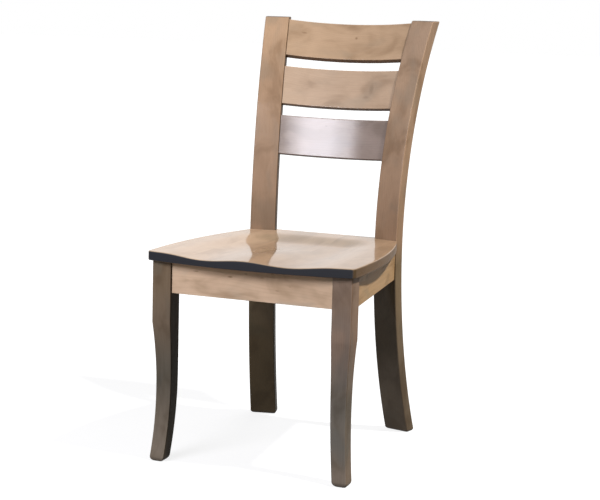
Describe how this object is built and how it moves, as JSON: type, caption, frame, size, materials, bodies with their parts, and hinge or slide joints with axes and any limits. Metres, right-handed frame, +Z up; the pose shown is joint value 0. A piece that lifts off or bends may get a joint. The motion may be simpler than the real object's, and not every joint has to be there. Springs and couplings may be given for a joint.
{
  "type": "dining side chair",
  "caption": "Solid wood side chair with bent back posts, bowed slats, a saddle seat, curved front legs and a screwed and mortised seat frame.",
  "frame": {"origin": "on the floor, at the middle of the chair's width and of its overall depth", "axes": "+Z up, front towards -Y, +X to the right of someone who faces the chair"},
  "size_m": [0.465, 0.6108, 0.945],
  "materials": {
    "post_wood": "grey-brown stain under a clear satin coat",
    "slat_wood": "grey-brown stain under a clear satin coat",
    "seat_wood": "grey-brown stain under a clear semi-gloss coat",
    "leg_wood": "grey-brown stain under a clear satin coat",
    "apron_wood": "grey-brown stain under a clear satin coat",
    "block_wood": "bare, planed",
    "screw_steel": "zinc plated"
  },
  "bodies": {
    "root": {"back_post_left": "post_wood", "back_post_right": "post_wood", "top_rail": "slat_wood", "middle_slat": "slat_wood", "lower_slat": "slat_wood", "seat": "seat_wood", "front_leg_left": "leg_wood", "front_leg_right": "leg_wood", "front_apron": "apron_wood", "rear_apron": "apron_wood", "side_apron_left": "apron_wood", "side_apron_right": "apron_wood", "front_corner_block_left": "block_wood", "front_corner_block_right": "block_wood", "rear_corner_block_left": "block_wood", "rear_corner_block_right": "block_wood", "front_apron_screw_left": "screw_steel", "front_apron_screw_right": "screw_steel", "front_side_screw_left": "screw_steel", "front_side_screw_right": "screw_steel", "front_seat_screw_left": "screw_steel", "front_seat_screw_right": "screw_steel", "rear_apron_screw_left": "screw_steel", "rear_apron_screw_right": "screw_steel", "rear_side_screw_left": "screw_steel", "rear_side_screw_right": "screw_steel", "rear_seat_screw_left": "screw_steel", "rear_seat_screw_right": "screw_steel"}
  },
  "joints": []
}
